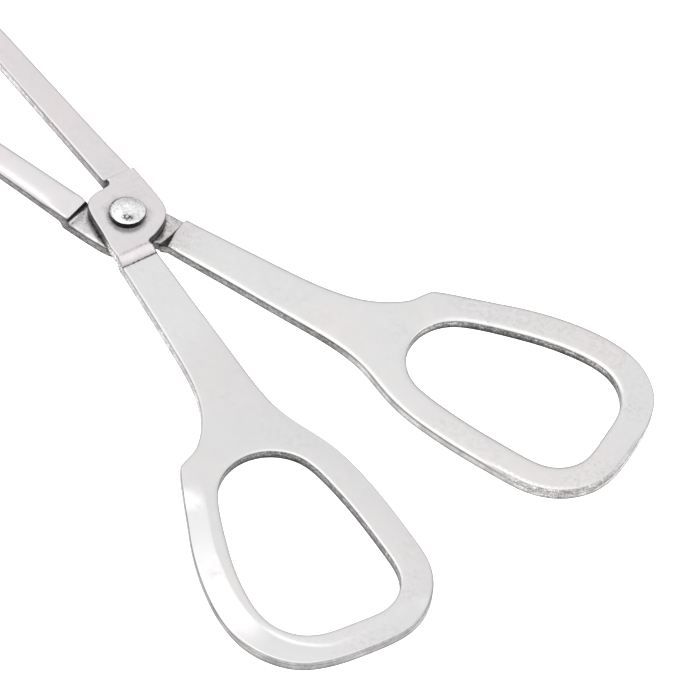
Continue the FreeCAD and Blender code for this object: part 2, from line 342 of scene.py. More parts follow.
def heights(x, y, side, s, near):
    """Exact sheet height for one side. s is the way the jaws bend."""
    if side > 0:
        z = soft(top_raw, x, y, 0.13)
    else:
        z = soft(bottom_raw, x, y, 0.09)
    zj = jaw_centre(x, side, s)
    return np.where(x > BEND_X, zj, z)


# ---------------------------------------------------------------- lever mesh
def lever_arrays(s, bore_r, seed, facets):
    """Vertices (mm), faces, and per-vertex edge and wall masks of one lever.
    The lever's own top is +Z and its handle is at +Y. facets is (top side details, bottom side details)."""
    loops = [OUT, HOLE, circle(bore_r)]
    ring_d = [0.05, 0.12, 0.21, 0.32, 0.46, 0.64, 0.88, 1.2, 1.7, 2.4]
    base = []
    for li, loop in enumerate(loops):
        n = loop_normals(loop)
        for k, d in enumerate(ring_d):
            if li == 2 and k not in (3, 6, 8):
                continue
            q = loop + n * d
            if k >= 7:
                q = q[::2]
            base.append(np.c_[q, np.full(len(q), d)])
    cand = np.concatenate(base)
    dist, _ = seg_dist(cand[:, :2], loops)
    ok = (dist > cand[:, 2] * 0.97 - 0.003) & inside(cand[:, :2], loops)
    rings = cand[ok, :2]
    # interior points
    gx, gy = np.meshgrid(np.arange(-121, 185, 1.5), np.arange(-40, 60, 1.5))
    gx = gx + (np.arange(gx.shape[0]) % 2)[:, None] * 0.75
    grid = np.c_[gx.ravel(), gy.ravel()]
    grid = grid[inside(grid, loops)]
    dg, _ = seg_dist(grid, loops)
    grid = grid[dg > 2.9]

    def crease(lines, offs, step):
        rows = []
        for line in lines:
            for o in offs:
                y = np.arange(-13, 13.5, step)
                rows.append(np.c_[(line(y) if callable(line) else line[0] + line[1] * y) + o, y])
        r = np.concatenate(rows)
        r = r[inside(r, loops)]
        dr, _ = seg_dist(r, loops)
        return r[dr > 0.10]

    offs = [-0.32, -0.2, -0.1, 0.0, 0.1, 0.2, 0.32]
    top_rows = np.concatenate([crease([TOP_HANDLE_FOOT], offs + [-0.5, 0.45, 0.62, 0.8, 1.05, 1.3, 1.6, 1.9, 2.2, 2.5], 0.4),
                               crease([TOP_HANDLE_CREST], [0.1, 0.4], 0.4)])
    top_rows2 = crease([TOP_ARM_CREST], [-0.3, -0.2, -0.1, 0, 0.1, 0.2, 0.32, 0.44, 0.55, 0.65, 0.76, 0.88, 1.05], 0.3)
    def between(k):
        return lambda y: cut_foot(y) + (cut_crest(y) - cut_foot(y)) * k
    bot_rows = np.concatenate([crease([cut_crest], [-0.32, -0.2, -0.1, 0.0, 0.1], 0.35),
                               crease([cut_foot], [-0.08, 0.0, 0.1, 0.25], 0.35),
                               crease([between(0.2), between(0.4), between(0.6), between(0.8)], [0.0], 0.35)])
    bot_rows2 = crease([BOT_ARM_PLATE], [-0.95, -0.8, -0.6, -0.45, -0.3, -0.2, -0.1, 0, 0.08, 0.17, 0.26, 0.35, 0.45, 0.6, 0.78, 0.95], 0.3)

    def along_buff(offs):
        t = np.roll(BUFF_P, -1, axis=0) - np.roll(BUFF_P, 1, axis=0)
        t[0], t[-1] = BUFF_P[1] - BUFF_P[0], BUFF_P[-1] - BUFF_P[-2]
        n = np.c_[t[:, 1], -t[:, 0]] / np.hypot(t[:, 0], t[:, 1])[:, None]
        r = np.concatenate([BUFF_P + n * o for o in offs])
        r = r[inside(r, loops)]
        dr, _ = seg_dist(r, loops)
        return r[dr > 0.75]

    if facets[0].get("fields"):
        top_rows = np.concatenate([top_rows, along_buff([-0.45, -0.30, -0.15, 0.0, 0.15, 0.32, 0.5, 0.8])])
    verts, faces = [], []
    edge_mask, wall_mask, thru, loop_of, grime_and_shade = [], [], [], [], []
    ring_ids = {}
    total = 0
    bcount = sum(len(l) for l in loops)
    for side, rows in ((1, [top_rows, top_rows2]), (-1, [bot_rows, bot_rows2])):
        extra = np.concatenate(rows)
        # keep ring and grid points clear of the crease rows
        keep = []
        for block, clear in ((rings, 0.07), (grid, 0.5)):
            near = np.full(len(block), 9.0)
            m = ((np.abs(block[:, 0]) < 16) & (np.abs(block[:, 1]) < 15)) | ((block[:, 0] < -58) & (len(extra) > 3000))
            idx = np.where(m)[0]
            for st in range(0, len(idx), 800):
                ii = idx[st:st + 800]
                near[ii] = np.sqrt(((block[ii, None] - extra[None]) ** 2).sum(2)).min(1)
            keep.append(block[near > clear])
        pts = np.concatenate(loops + keep + [extra])
        edges = []
        st = 0
        for l in loops:
            edges += [(st + i, st + (i + 1) % len(l)) for i in range(len(l))]
            st += len(l)
        res = delaunay_2d_cdt([Vector(p) for p in pts], edges, [], 0, 1e-6)
        v2 = np.array([tuple(v) for v in res[0]])
        tris = np.array([f for f in res[2] if len(f) == 3])
        cen = v2[tris].mean(1)
        tris = tris[inside(cen, loops)]
        orig = res[3]
        newid = {}
        for i, o in enumerate(orig):
            for q in o:
                newid[q] = i
        used = np.unique(tris)
        remap = -np.ones(len(v2), int)
        remap[used] = np.arange(len(used))
        v2u = v2[used]
        d, which = seg_dist(v2u, loops)
        on_bore = which == 2
        d[on_bore] = 9.0
        z = heights(v2u[:, 0], v2u[:, 1], side, s, d)
        z = z + side * details(v2u[:, 0], v2u[:, 1], d, which, side, seed, facets)
        tris = remap[tris]
        if side < 0:
            tris = tris[:, ::-1]
        verts.append(np.c_[v2u, z])
        faces.append(tris + total)
        bev = facets[0 if side > 0 else 1].get("bevel")
        if bev:
            kb = bev[0](v2u[:, 0], v2u[:, 1]) * (which == 0) * np.clip((bev[1] - d) / 0.18, 0, 1)
        else:
            kb = np.zeros(len(v2u))
        edge_mask.append(kb)
        wall_mask.append(np.maximum(np.clip(1.0 - d / 0.20, 0, 1) ** 0.8, 0.9 * kb))
        thru.append(np.full(len(v2u), 0.0 if side > 0 else 1.0))
        loop_of.append(which)
        gfun = facets[0 if side > 0 else 1].get("grime_and_shade")
        grime_and_shade.append(gfun(v2u[:, 0], v2u[:, 1]) if gfun else np.zeros(len(v2u)))
        ring_ids[side] = [total + remap[newid[i]] for i in range(bcount)]
        total += len(v2u)
    # walls
    allv = np.concatenate(verts)
    st = 0
    fr = [0.05, 0.13, 0.26, 0.42, 0.58, 0.74, 0.87, 0.95]
    wall_faces, ridx = [], []
    for li, l in enumerate(loops):
        n = loop_normals(l)
        top = ring_ids[1][st:st + len(l)]
        bot = ring_ids[-1][st:st + len(l)]
        st += len(l)
        rows = [top]
        zt, zb = allv[top, 2], allv[bot, 2]
        for t in fr:
            # the sheared edge: slightly full in the middle, never outside the blank
            bulge = -0.035 * (2 * t - 1) ** 2 if li != 2 else 0.0
            w = 0.02 * vnoise(l[:, 0] * 1.3 + 7 * li, l[:, 1] * 1.3 + 3, seed + 5) if li != 2 else 0.0
            q = l - n * (np.full(len(l), bulge) - abs(w) * 1.0)[:, None] if li != 2 else l
            verts.append(np.c_[q, zt + (zb - zt) * t])
            edge_mask.append(np.zeros(len(l)))
            wall_mask.append(np.full(len(l), 2.0))
            thru.append(np.full(len(l), t))
            loop_of.append(np.full(len(l), li))
            grime_and_shade.append(np.zeros(len(l)))
            rows.append(list(range(total, total + len(l))))
            total += len(l)
        rows.append(bot)
        for r0, r1 in zip(rows[:-1], rows[1:]):
            k = len(l)
            for i in range(k):
                j = (i + 1) % k
                wall_faces.append((r0[j], r0[i], r1[i], r1[j]))
    return (np.concatenate(verts), [tuple(map(int, f)) for f in np.concatenate(faces)], wall_faces,
            np.concatenate(edge_mask), np.concatenate(wall_mask), np.concatenate(thru),
            np.concatenate(loop_of), np.concatenate(grime_and_shade))


def details(x, y, d, which, side, seed, facets):
    """Height change of the face, in mm, positive outwards: rolled edges, hand-buffed facets and waviness."""
    spec = facets[0] if side > 0 else facets[1]
    w = spec["roll_w"] * (1 + 0.22 * vnoise(x / 9, y / 9, seed + 1))
    drop = spec["roll_d"] * (1 + 0.2 * vnoise(x / 11, y / 11, seed + 2))
    if "hole_w" in spec:
        hw = (which == 1)
        w = np.where(hw, spec["hole_w"], w)
        drop = np.where(hw, spec["hole_d"], drop)
    if "tight" in spec:
        amount, start, run = spec["tight"]
        k = smooth01((-x - start) / run) * (which == 0)
        w = w * (1 - amount * k)
        drop = drop * (1 - amount * k)
    near = (np.abs(x) < 13) & (np.hypot(x, y) < 15)
    w = np.where(near, w * 0.75, w)
    drop = np.where(near, drop * 0.7, drop)
    t = np.clip(1 - d / np.maximum(w, 1e-3), 0, 1)
    z = -drop * (1 - np.sqrt(np.maximum(1 - t ** 2, 0)))
    z = z - 0.02 * np.exp(-d / 1.6)
    wave = 0.005 * vnoise(x / 7, y / 7, seed + 3) + 0.012 * vnoise(x / 17, y / 17, seed + 4)
    z = z + wave * smooth01(d / 2.0)
    for f in spec.get("fields", []):
        z = z + f(x, y, d, which)
    if "bevel" in spec:
        fn, wide, deep, _ = spec["bevel"]
        z = z - fn(x, y) * (which == 0) * deep * np.clip(1 - d / wide, 0, 1)
    return z


def bevel_upper(x, y):
    return smooth01((-x - 94.0) / 9.0) * smooth01((y - 15.0) / 7.0)


def bevel_lower(x, y):
    return smooth01((-x - 97.0) / 9.0) * (1 - smooth01((y - 25.0) / 22.0))


OUT_S = np.r_[0, np.cumsum(np.hypot(*np.diff(np.vstack([OUT, OUT[:1]]), axis=0).T))]


BUFF = np.array([(-64.0, 36.2), (-67.0, 38.4), (-71.9, 41.8), (-77.3, 45.4), (-83.5, 48.4), (-88.8, 50.5),
    (-93.6, 51.7), (-98.4, 52.0), (-102.4, 51.3), (-106.1, 49.7), (-108.8, 47.6), (-110.9, 45.2), (-112.3, 41.9),
    (-113.2, 38.5), (-113.9, 34.1), (-114.3, 30.3), (-114.6, 27.3), (-115.6, 21.9), (-117.0, 18.0)])


def buff_line():
    p = cubic([tuple(q) for q in BUFF], step=0.6)
    return p, np.r_[0, np.cumsum(np.hypot(*np.diff(p, axis=0).T))]


BUFF_P, BUFF_S = buff_line()


def rail_facet(x, y, d, which):
    """Hand-buffed facet on the outside of the upper lever's finger loop. Its inner edge is a soft line along the rail;
    round the loop's end it is a low step that rolls into the rail again."""
    out = np.zeros(len(x))
    m = np.where(x < -58)[0]
    q = np.c_[x[m], y[m]]
    a, b = BUFF_P[:-1], BUFF_P[1:]
    e = b - a
    l2 = (e ** 2).sum(1)
    dist = np.empty(len(m))
    arc = np.empty(len(m))
    for st in range(0, len(m), 2000):
        qq = q[st:st + 2000]
        ap = qq[:, None] - a[None]
        t = np.clip((ap * e[None]).sum(2) / l2[None], 0, 1)
        r = ap - t[..., None] * e[None]
        dd = np.sqrt((r ** 2).sum(2))
        k = dd.argmin(1)
        i = np.arange(len(qq))
        cr = e[k, 0] * ap[i, k, 1] - e[k, 1] * ap[i, k, 0]
        dist[st:st + 2000] = -np.sign(cr) * dd[i, k]
        arc[st:st + 2000] = BUFF_S[k] + t[i, k] * np.sqrt(l2[k])
    total = BUFF_S[-1]
    side = smooth01((arc - 1.0) / 6.0) * (1 - smooth01((arc - 34.0) / 9.0))
    end = smooth01((arc - 37.0) / 7.0) * (1 - smooth01((arc - total + 7.0) / 6.0))
    bend = np.sqrt(np.maximum(dist, 0) ** 2 + 0.02) - math.sqrt(0.02)
    z = -0.112 * side * np.where(dist > 0, bend, 0)
    z = z - end * 0.085 * smooth01((dist + 0.48) / 0.96)
    out[m] = z
    return out


def arm_crown(x, y, d, which):
    """The lower arm's outer edge is rolled over softly for a few millimetres."""
    o = y - np.where(x > 25, arm_outer(x), np.interp(x, [p[0] for p in PLATE_RIGHT], [p[1] for p in PLATE_RIGHT]))
    t = np.clip(1 - o / 3.3, 0, 1)
    k = smooth01((x - 11.5) / 5.0) * (1 - smooth01((x - 96.0) / 14.0))
    return -0.44 * k * (1 - np.sqrt(np.maximum(1 - (0.96 * t) ** 2, 0)))


# ---------------------------------------------------------------- painted shade in creases, steps and round the rivet, with stains, 0 to 1
# painted shade: dark lines along the joggle's foot and crest and along the arm's foot, and a dark disc round the rivet
# head
def upper_painted_shade(x, y):
    r = np.hypot(x, y)
    u, v = x - TOP_HANDLE_FOOT[1] * y, x - TOP_ARM_CREST[1] * y
    g = 1.0 * np.exp(-((u - TOP_HANDLE_FOOT[0] - 0.02) / 0.19) ** 2) * (np.abs(x) < 16)
    g = np.maximum(g, 0.42 * np.exp(-((u - TOP_HANDLE_CREST[0] + 0.10) / 0.26) ** 2) * (x < 0))
    g = np.maximum(g, 0.04 * ((u > TOP_HANDLE_FOOT[0]) & (u < TOP_HANDLE_CREST[0]) & (np.abs(x) < 16)))
    g = np.maximum(g, 0.45 * np.exp(-((v - TOP_ARM_FOOT[0]) / 0.16) ** 2) * (x > 4))
    g = np.maximum(g, np.clip((4.28 - r) / 0.10, 0, 1))
    return g


def shut_painted_shade_and_stain(x, y):
    """The face that carries the relief: painted shade in the step, the run-out and under and along the other plate's
    edge, with real stains on the plate and beside the run-out.
    """
    v = x - BOT_ARM_EDGE[1] * y
    e, p = BOT_ARM_EDGE[0], BOT_ARM_PLATE[0]
    g = np.where((v > p - 0.04) & (v < p + 0.16) & (np.abs(x) < 16), 1.0, 0.0)
    g = np.maximum(g, 0.54 * np.exp(-np.maximum(p - 0.70 - v, 0) / 1.8) * (v < p - 0.60) * (x > 0))
    g = np.maximum(g, 0.18 * ((v < p - 0.12) & (x > 3) & (np.abs(x) < 16)))
    g = np.maximum(g, 1.0 * np.exp(-(np.hypot(x - 8.3, y + 10.3) / 0.55) ** 2))
    c, f = cut_crest(y), cut_foot(y)
    near = np.abs(x) < 20
    wide = np.clip((f - c) / 2.4, 0.0, 1.0)
    g = np.maximum(g, np.where((x > c) & (x < f) & near, 0.74 + 0.1 * (1 - wide), 0.0))
    g = np.maximum(g, np.where((x <= c) & near, (0.16 + 0.22 * wide) * np.exp(-(c - x) / 3.2), 0.0))
    g = np.maximum(g, np.where((x >= f) & (x < 0), 0.30, 0.0))
    # the other plate's outline, turned over into this lever's frame: painted shade under it and along its edge
    m = np.where(np.hypot(x, y) < 17)[0]
    q = np.c_[x[m], -y[m]]
    dd, _ = seg_dist(q, [OUT])
    dd = np.where(inside(q, [OUT]), -dd, dd)
    gg = np.where(dd < 0.05, 0.95, 0.30 * np.exp(-np.maximum(dd, 0) / 0.5))
    gg = gg * ((x[m] > -9.3) & (x[m] < 9.7))
    g[m] = np.maximum(g[m], gg)
    return g


def build_lever(name, s, bore_r, seed, facets, flip):
    v, tris, quads, edge, wall, thru, loop_of, grime_and_shade = lever_arrays(s, bore_r, seed, facets)
    tone = wall_tone_and_shade(v, 1 - thru if flip else thru, loop_of, seed, flip)
    tone = tone + (facets[1 if flip else 0]["bevel"][3] - tone) * edge
    if flip:
        v = v * np.array([1, -1, -1])
    mesh = bpy.data.meshes.new(name)
    mesh.from_pydata((v / 1000).tolist(), [], tris + quads)
    mesh.validate()
    mesh.update()
    torn = torn_amount(v * (np.array([1, -1, -1]) if flip else 1), loop_of, flip)
    own = v[:, :2] * (np.array([1, -1]) if flip else 1)
    blots = LOWER_BLOTS if flip else UPPER_BLOTS
    cloud = np.zeros(len(v))
    for bx, by, br in blots:
        cloud = np.maximum(cloud, np.exp(-(np.hypot(own[:, 0] - bx, own[:, 1] - by) / br) ** 2))
    r = np.hypot(own[:, 0], own[:, 1])
    matte = np.clip((5.7 - r) / 0.9, 0, 1)
    if flip:
        fore = smooth01((own[:, 0] + 17.0) / 7.0)
        neck = np.zeros(len(v))
    else:
        fore = smooth01((own[:, 0] - TOP_HANDLE_FOOT[1] * own[:, 1] - TOP_HANDLE_FOOT[0] + 0.9) / 0.9)
        neck = (1 - fore) * (1 - smooth01((-own[:, 0] - 30.0) / 12.0))
    for key, val in (("edge", edge), ("wall", wall), ("tone", tone), ("grime_and_shade", grime_and_shade), ("torn", torn),
                     ("cloud", cloud), ("matte", matte), ("fore", fore), ("neck", neck)):
        a = mesh.attributes.new(key, "FLOAT", "POINT")
        a.data.foreach_set("value", val.astype(np.float32))
    for p in mesh.polygons:
        p.use_smooth = True
    ob = bpy.data.objects.new(name, mesh)
    bpy.context.scene.collection.objects.link(ob)
    return ob


# worn and stained places on the handles: x, y, radius
LOWER_BLOTS = [(-65.9, 40.5, 4.0), (-70.9, 43.3, 4.5), (-76.8, 46.0, 4.0), (-80.7, 48.2, 3.5), (-85.3, 51.3, 3.0),
               (-92.3, 54.6, 3.0), (-97.9, 54.0, 3.0), (-116.0, 29.6, 4.0), (-115.5, 23.3, 3.5), (-109.3, 47.2, 3.0),
               (-12.5, 6.5, 3.5), (-14.0, 3.5, 2.5)]
UPPER_BLOTS = [(-67.5, 41.3, 2.0), (-83.1, 50.3, 2.0), (-110.1, 19.8, 2.0), (-112.6, 23.1, 2.5), (-115.9, 39.6, 4.0),
               (-118.0, 34.0, 3.0), (4.0, -6.5, 2.5), (6.5, -8.0, 2.0)]


def torn_amount(v, loop_of, lower):
    """How rough-torn the sheared edge is: 1 in the punched holes, less where the outside was buffed."""
    x, y = v[:, 0], v[:, 1]
    loop = smooth01((-x - 52.0) / 12.0)
    end = smooth01((-x - 100.0) / 10.0)
    plate = 1 - smooth01((np.abs(x) - 9.0) / 3.0)
    base = 0.75 if lower else 0.58
    k = base + (0.20 - base) * loop + (0.45 if lower else 0.0) * end
    k = np.maximum(k, plate)
    k = np.where(loop_of == 1, 1.0, k)
    return k


def wall_tone_and_shade(v, t, loop_of, seed, lower):
    """How bright the sheared edge is, by depth t through the sheet (0 at the upper face) and by place. Painted shade
    in part: a dark line under the rolled arris, a lighter burnished band, then torn metal painted darker down to the
    lower arris; the hole walls darken downwards, the notch corners are darkened, and the walls on the two sides of the
    handle are painted to different brightness. The noise is the edge's own uneven tone."""
    x, y = v[:, 0], v[:, 1]
    tone = np.interp(t, [0, 0.05, 0.13, 0.26, 0.42, 0.58, 0.74, 0.87, 0.95, 1.0],
                     [0.22, 0.22, 0.30, 0.44, 0.45, 0.41, 0.36, 0.29, 0.18, 0.11])
    hole = np.interp(t, [0, 0.08, 0.2, 0.4, 0.55, 0.7, 0.85, 1.0], [0.34, 0.34, 0.40, 0.36, 0.24, 0.15, 0.09, 0.05])
    tone = np.where(loop_of == 1, hole, tone)
    mid = 6.2 + (-12.0 - x) * 0.3
    far = y > mid
    arm = smooth01((x - 11.0) / 3.0)
    handle = smooth01((-x - 9.0) / 3.0)
    loop = smooth01((-x - 52.0) / 12.0)
    if lower:
        k_arm, k_plate, k_far, k_near, k_loop, k_hole = 0.72, 0.50, 0.60, 0.50, 0.98, 0.60
    else:
        k_arm, k_plate, k_far, k_near, k_loop, k_hole = 1.08, 0.24, 1.08, 0.50, 0.68, 0.48
    if not lower:
        handle = np.where(y > 0, smooth01((-x - 1.5) / 4.0), handle)
    k_arm = k_arm * (0.58 + 0.42 * smooth01((x - 14.0) / 28.0))
    k = k_plate + (k_arm - k_plate) * arm
    k = k + (np.where(far, k_far, k_near) - k) * handle
    k = k + (k_loop - k) * loop
    k = np.where(loop_of == 1, k_hole, k)
    notch = np.exp(-(np.hypot(x - 9.8, y + 3.2) / 1.3) ** 2) + np.exp(-(np.hypot(x + 9.2, y - 0.9) / 1.2) ** 2)
    k = k * (1 - 0.75 * np.clip(notch, 0, 1))
    if not lower:
        flat = 0.65 * handle * (1 - loop) * far + 0.4 * arm
        tone = tone + (0.40 - tone) * flat * (t < 0.9)
    k = k * (1 + 0.22 * vnoise(x / 8, y / 8, seed + 9) + 0.15 * vnoise(x / 2.5, y / 2.5, seed + 12))
    return np.clip(tone * k, 0.01, 1)


# ---------------------------------------------------------------- rivet mesh
def build_rivet(name):
    z1 = T + G + 0.05
    prof = []      # (r, z) from the top of the dome down and round to the tail
    rim, dome = HEAD_RIM, HEAD_DOME
    top = z1 + rim + dome
    dx, dz = HEAD_R - 0.24, dome - 0.10
    rr = (dx * dx + dz * dz) / (2 * dz)
    for t in np.linspace(0, 1, 34):
        r = dx * t
        prof.append((r, top - rr + math.sqrt(rr * rr - r * r), 0))
    # rounded shoulder
    zs = top - dz
    for a in np.linspace(0.25, 1.0, 7):
        prof.append((dx + 0.24 * math.sin(a * math.pi / 2), zs - 0.26 * (1 - math.cos(a * math.pi / 2)), 1 if a > 0.3 else 0))
    for t in np.linspace(0.2, 1, 5):
        prof.append((HEAD_R - 0.04 * t, zs - 0.26 + (z1 + 0.06 - zs + 0.26) * t, 1))
    prof.append((HEAD_R - 0.10, z1, 1))
    prof.append((SHANK_R + 0.6, z1, 1))
    prof.append((SHANK_R, z1, 1))
    zb = -(T + G)
    for t in np.linspace(0.2, 1, 5):
        prof.append((SHANK_R, z1 + (zb - z1) * t, 1))
    tail_r, rim2, dome2 = 3.9, 0.45, 0.65
    prof.append((tail_r - 0.12, zb, 1))
    prof.append((tail_r, zb - 0.1, 1))
    prof.append((tail_r, zb - rim2, 1))
    bot = zb - rim2 - dome2
    rt = (tail_r ** 2 + dome2 ** 2) / (2 * dome2)
    for t in np.linspace(0.97, 0, 14):
        r = tail_r * t
        prof.append((r, bot + rt - math.sqrt(rt * rt - r * r), 2))
    n = 144
    verts, faces, mask = [], [], []
    ang = np.arange(n) * 2 * math.pi / n
    rings = []
    mark_and_shade = []
    rg = np.random.default_rng(11)
    dents = [(rg.uniform(0, 3.6) , rg.uniform(0, 2 * math.pi), rg.uniform(0.5, 1.1), rg.uniform(0.012, 0.03)) for _ in range(16)]
    for r, z, kind in prof:
        if r < 1e-6:
            rings.append([len(verts)])
            verts.append((0, 0, z))
            mask.append(0.0)
            mark_and_shade.append(0.0)
            continue
        ids = []
        for t in ang:
            rr_, zz = r, z
            x, y = r * math.cos(t), r * math.sin(t)
            if kind in (0, 2):
                for (dr, da, dw, dh) in dents:
                    dd = math.hypot(x - dr * math.cos(da), y - dr * math.sin(da)) / dw
                    if dd < 3:
                        zz -= (1 if kind == 0 else -1) * dh * math.exp(-dd * dd) * min(1, (tail_r - r + 0.3))
            if kind == 1 and r > 3.5:
                rr_ = r + 0.03 * math.sin(3 * t + 1.0) + 0.015 * math.sin(7 * t)
            ids.append(len(verts))
            verts.append((rr_ * math.cos(t), rr_ * math.sin(t), zz))
            mask.append(1.0 if kind == 1 else 0.0)
            # one struck mark low on the dome, and painted shade along its shoulder on one side
            a1 = math.hypot((x + 1.75) * 0.80 + (y - 1.55) * 0.60, ((y - 1.55) * 0.80 - (x + 1.75) * 0.60) * 1.5)
            sh = max(0.0, min(1.0, (r - 3.45) / 0.3)) * max(0.0, math.cos(t - math.radians(19))) ** 1.5
            mark_and_shade.append((min(1.0, 1.6 * math.exp(-(a1 / 1.25) ** 2)) + 0.9 * sh) if kind == 0 else 0.0)
        rings.append(ids)
    for a, b in zip(rings[:-1], rings[1:]):
        if len(a) == 1:
            faces += [(a[0], b[i], b[(i + 1) % n]) for i in range(n)]
        elif len(b) == 1:
            faces += [(a[(i + 1) % n], a[i], b[0]) for i in range(n)]
        else:
            faces += [(a[(i + 1) % n], a[i], b[i], b[(i + 1) % n]) for i in range(n)]
    mesh = bpy.data.meshes.new(name)
    mesh.from_pydata((np.array(verts) / 1000).tolist(), [], faces)
    mesh.validate()
    mesh.update()
    at = mesh.attributes.new("wall", "FLOAT", "POINT")
    at.data.foreach_set("value", np.array(mask, np.float32))
    at = mesh.attributes.new("grime_and_shade", "FLOAT", "POINT")
    at.data.foreach_set("value", np.array(mark_and_shade, np.float32))
    for p in mesh.polygons:
        p.use_smooth = True
    ob = bpy.data.objects.new(name, mesh)
    bpy.context.scene.collection.objects.link(ob)
    return ob


# ---------------------------------------------------------------- materials
def new_mat(name):
    m = bpy.data.materials.new(name)
    m.use_nodes = True
    nt = m.node_tree
    nt.nodes.clear()
    out = nt.nodes.new("ShaderNodeOutputMaterial")
    b = nt.nodes.new("ShaderNodeBsdfPrincipled")
    nt.links.new(b.outputs[0], out.inputs[0])
    return m, nt, b


class Net:
    def __init__(self, nt):
        self.nt = nt

    def add(self, kind, **kw):
        n = self.nt.nodes.new(kind)
        for k, v in kw.items():
            setattr(n, k, v)
        return n

    def link(self, a, b):
        self.nt.links.new(a, b)

    def coords(self, scale):
        tc = self.add("ShaderNodeTexCoord")
        mp = self.add("ShaderNodeMapping")
        mp.inputs["Scale"].default_value = scale
        self.link(tc.outputs["Object"], mp.inputs["Vector"])
        return mp.outputs["Vector"]

    def noise(self, scale, detail=4, rough=0.55, dist=0.0, space=(1000, 1000, 1000)):
        n = self.add("ShaderNodeTexNoise")
        n.inputs["Scale"].default_value = scale
        n.inputs["Detail"].default_value = detail
        n.inputs["Roughness"].default_value = rough
        n.inputs["Distortion"].default_value = dist
        self.link(self.coords(space), n.inputs["Vector"])
        return n.outputs["Fac"]

    def ramp(self, fac, stops):
        r = self.add("ShaderNodeValToRGB")
        els = r.color_ramp.elements
        while len(els) > 1:
            els.remove(els[-1])
        els[0].position = stops[0][0]
        els[0].color = stops[0][1]
        for p, c in stops[1:]:
            e = els.new(p)
            e.color = c
        self.link(fac, r.inputs["Fac"])
        return r.outputs["Color"]

    def grey(self, fac, stops):
        return self.ramp(fac, [(p, (v, v, v, 1)) for p, v in stops])

    def math(self, op, a, b=None, clamp=False):
        n = self.add("ShaderNodeMath", operation=op, use_clamp=clamp)
        for i, v in enumerate((a, b)):
            if v is None:
                continue
            if isinstance(v, (int, float)):
                n.inputs[i].default_value = v
            else:
                self.link(v, n.inputs[i])
        return n.outputs[0]

    def mix(self, fac, a, b, blend="MIX"):
        n = self.add("ShaderNodeMix", data_type="RGBA", blend_type=blend)
        for sock, v in ((n.inputs["Factor"], fac), (n.inputs["A"], a), (n.inputs["B"], b)):
            pass
        ins = [i for i in n.inputs if i.type == "RGBA"]
        fc = n.inputs[0]
        if isinstance(fac, (int, float)):
            fc.default_value = fac
        else:
            self.link(fac, fc)
        for sock, v in ((ins[0], a), (ins[1], b)):
            if isinstance(v, tuple):
                sock.default_value = v
            else:
                self.link(v, sock)
        return [o for o in n.outputs if o.type == "RGBA"][0]

    def attr(self, name):
        n = self.add("ShaderNodeAttribute", attribute_name=name)
        return n.outputs["Fac"]


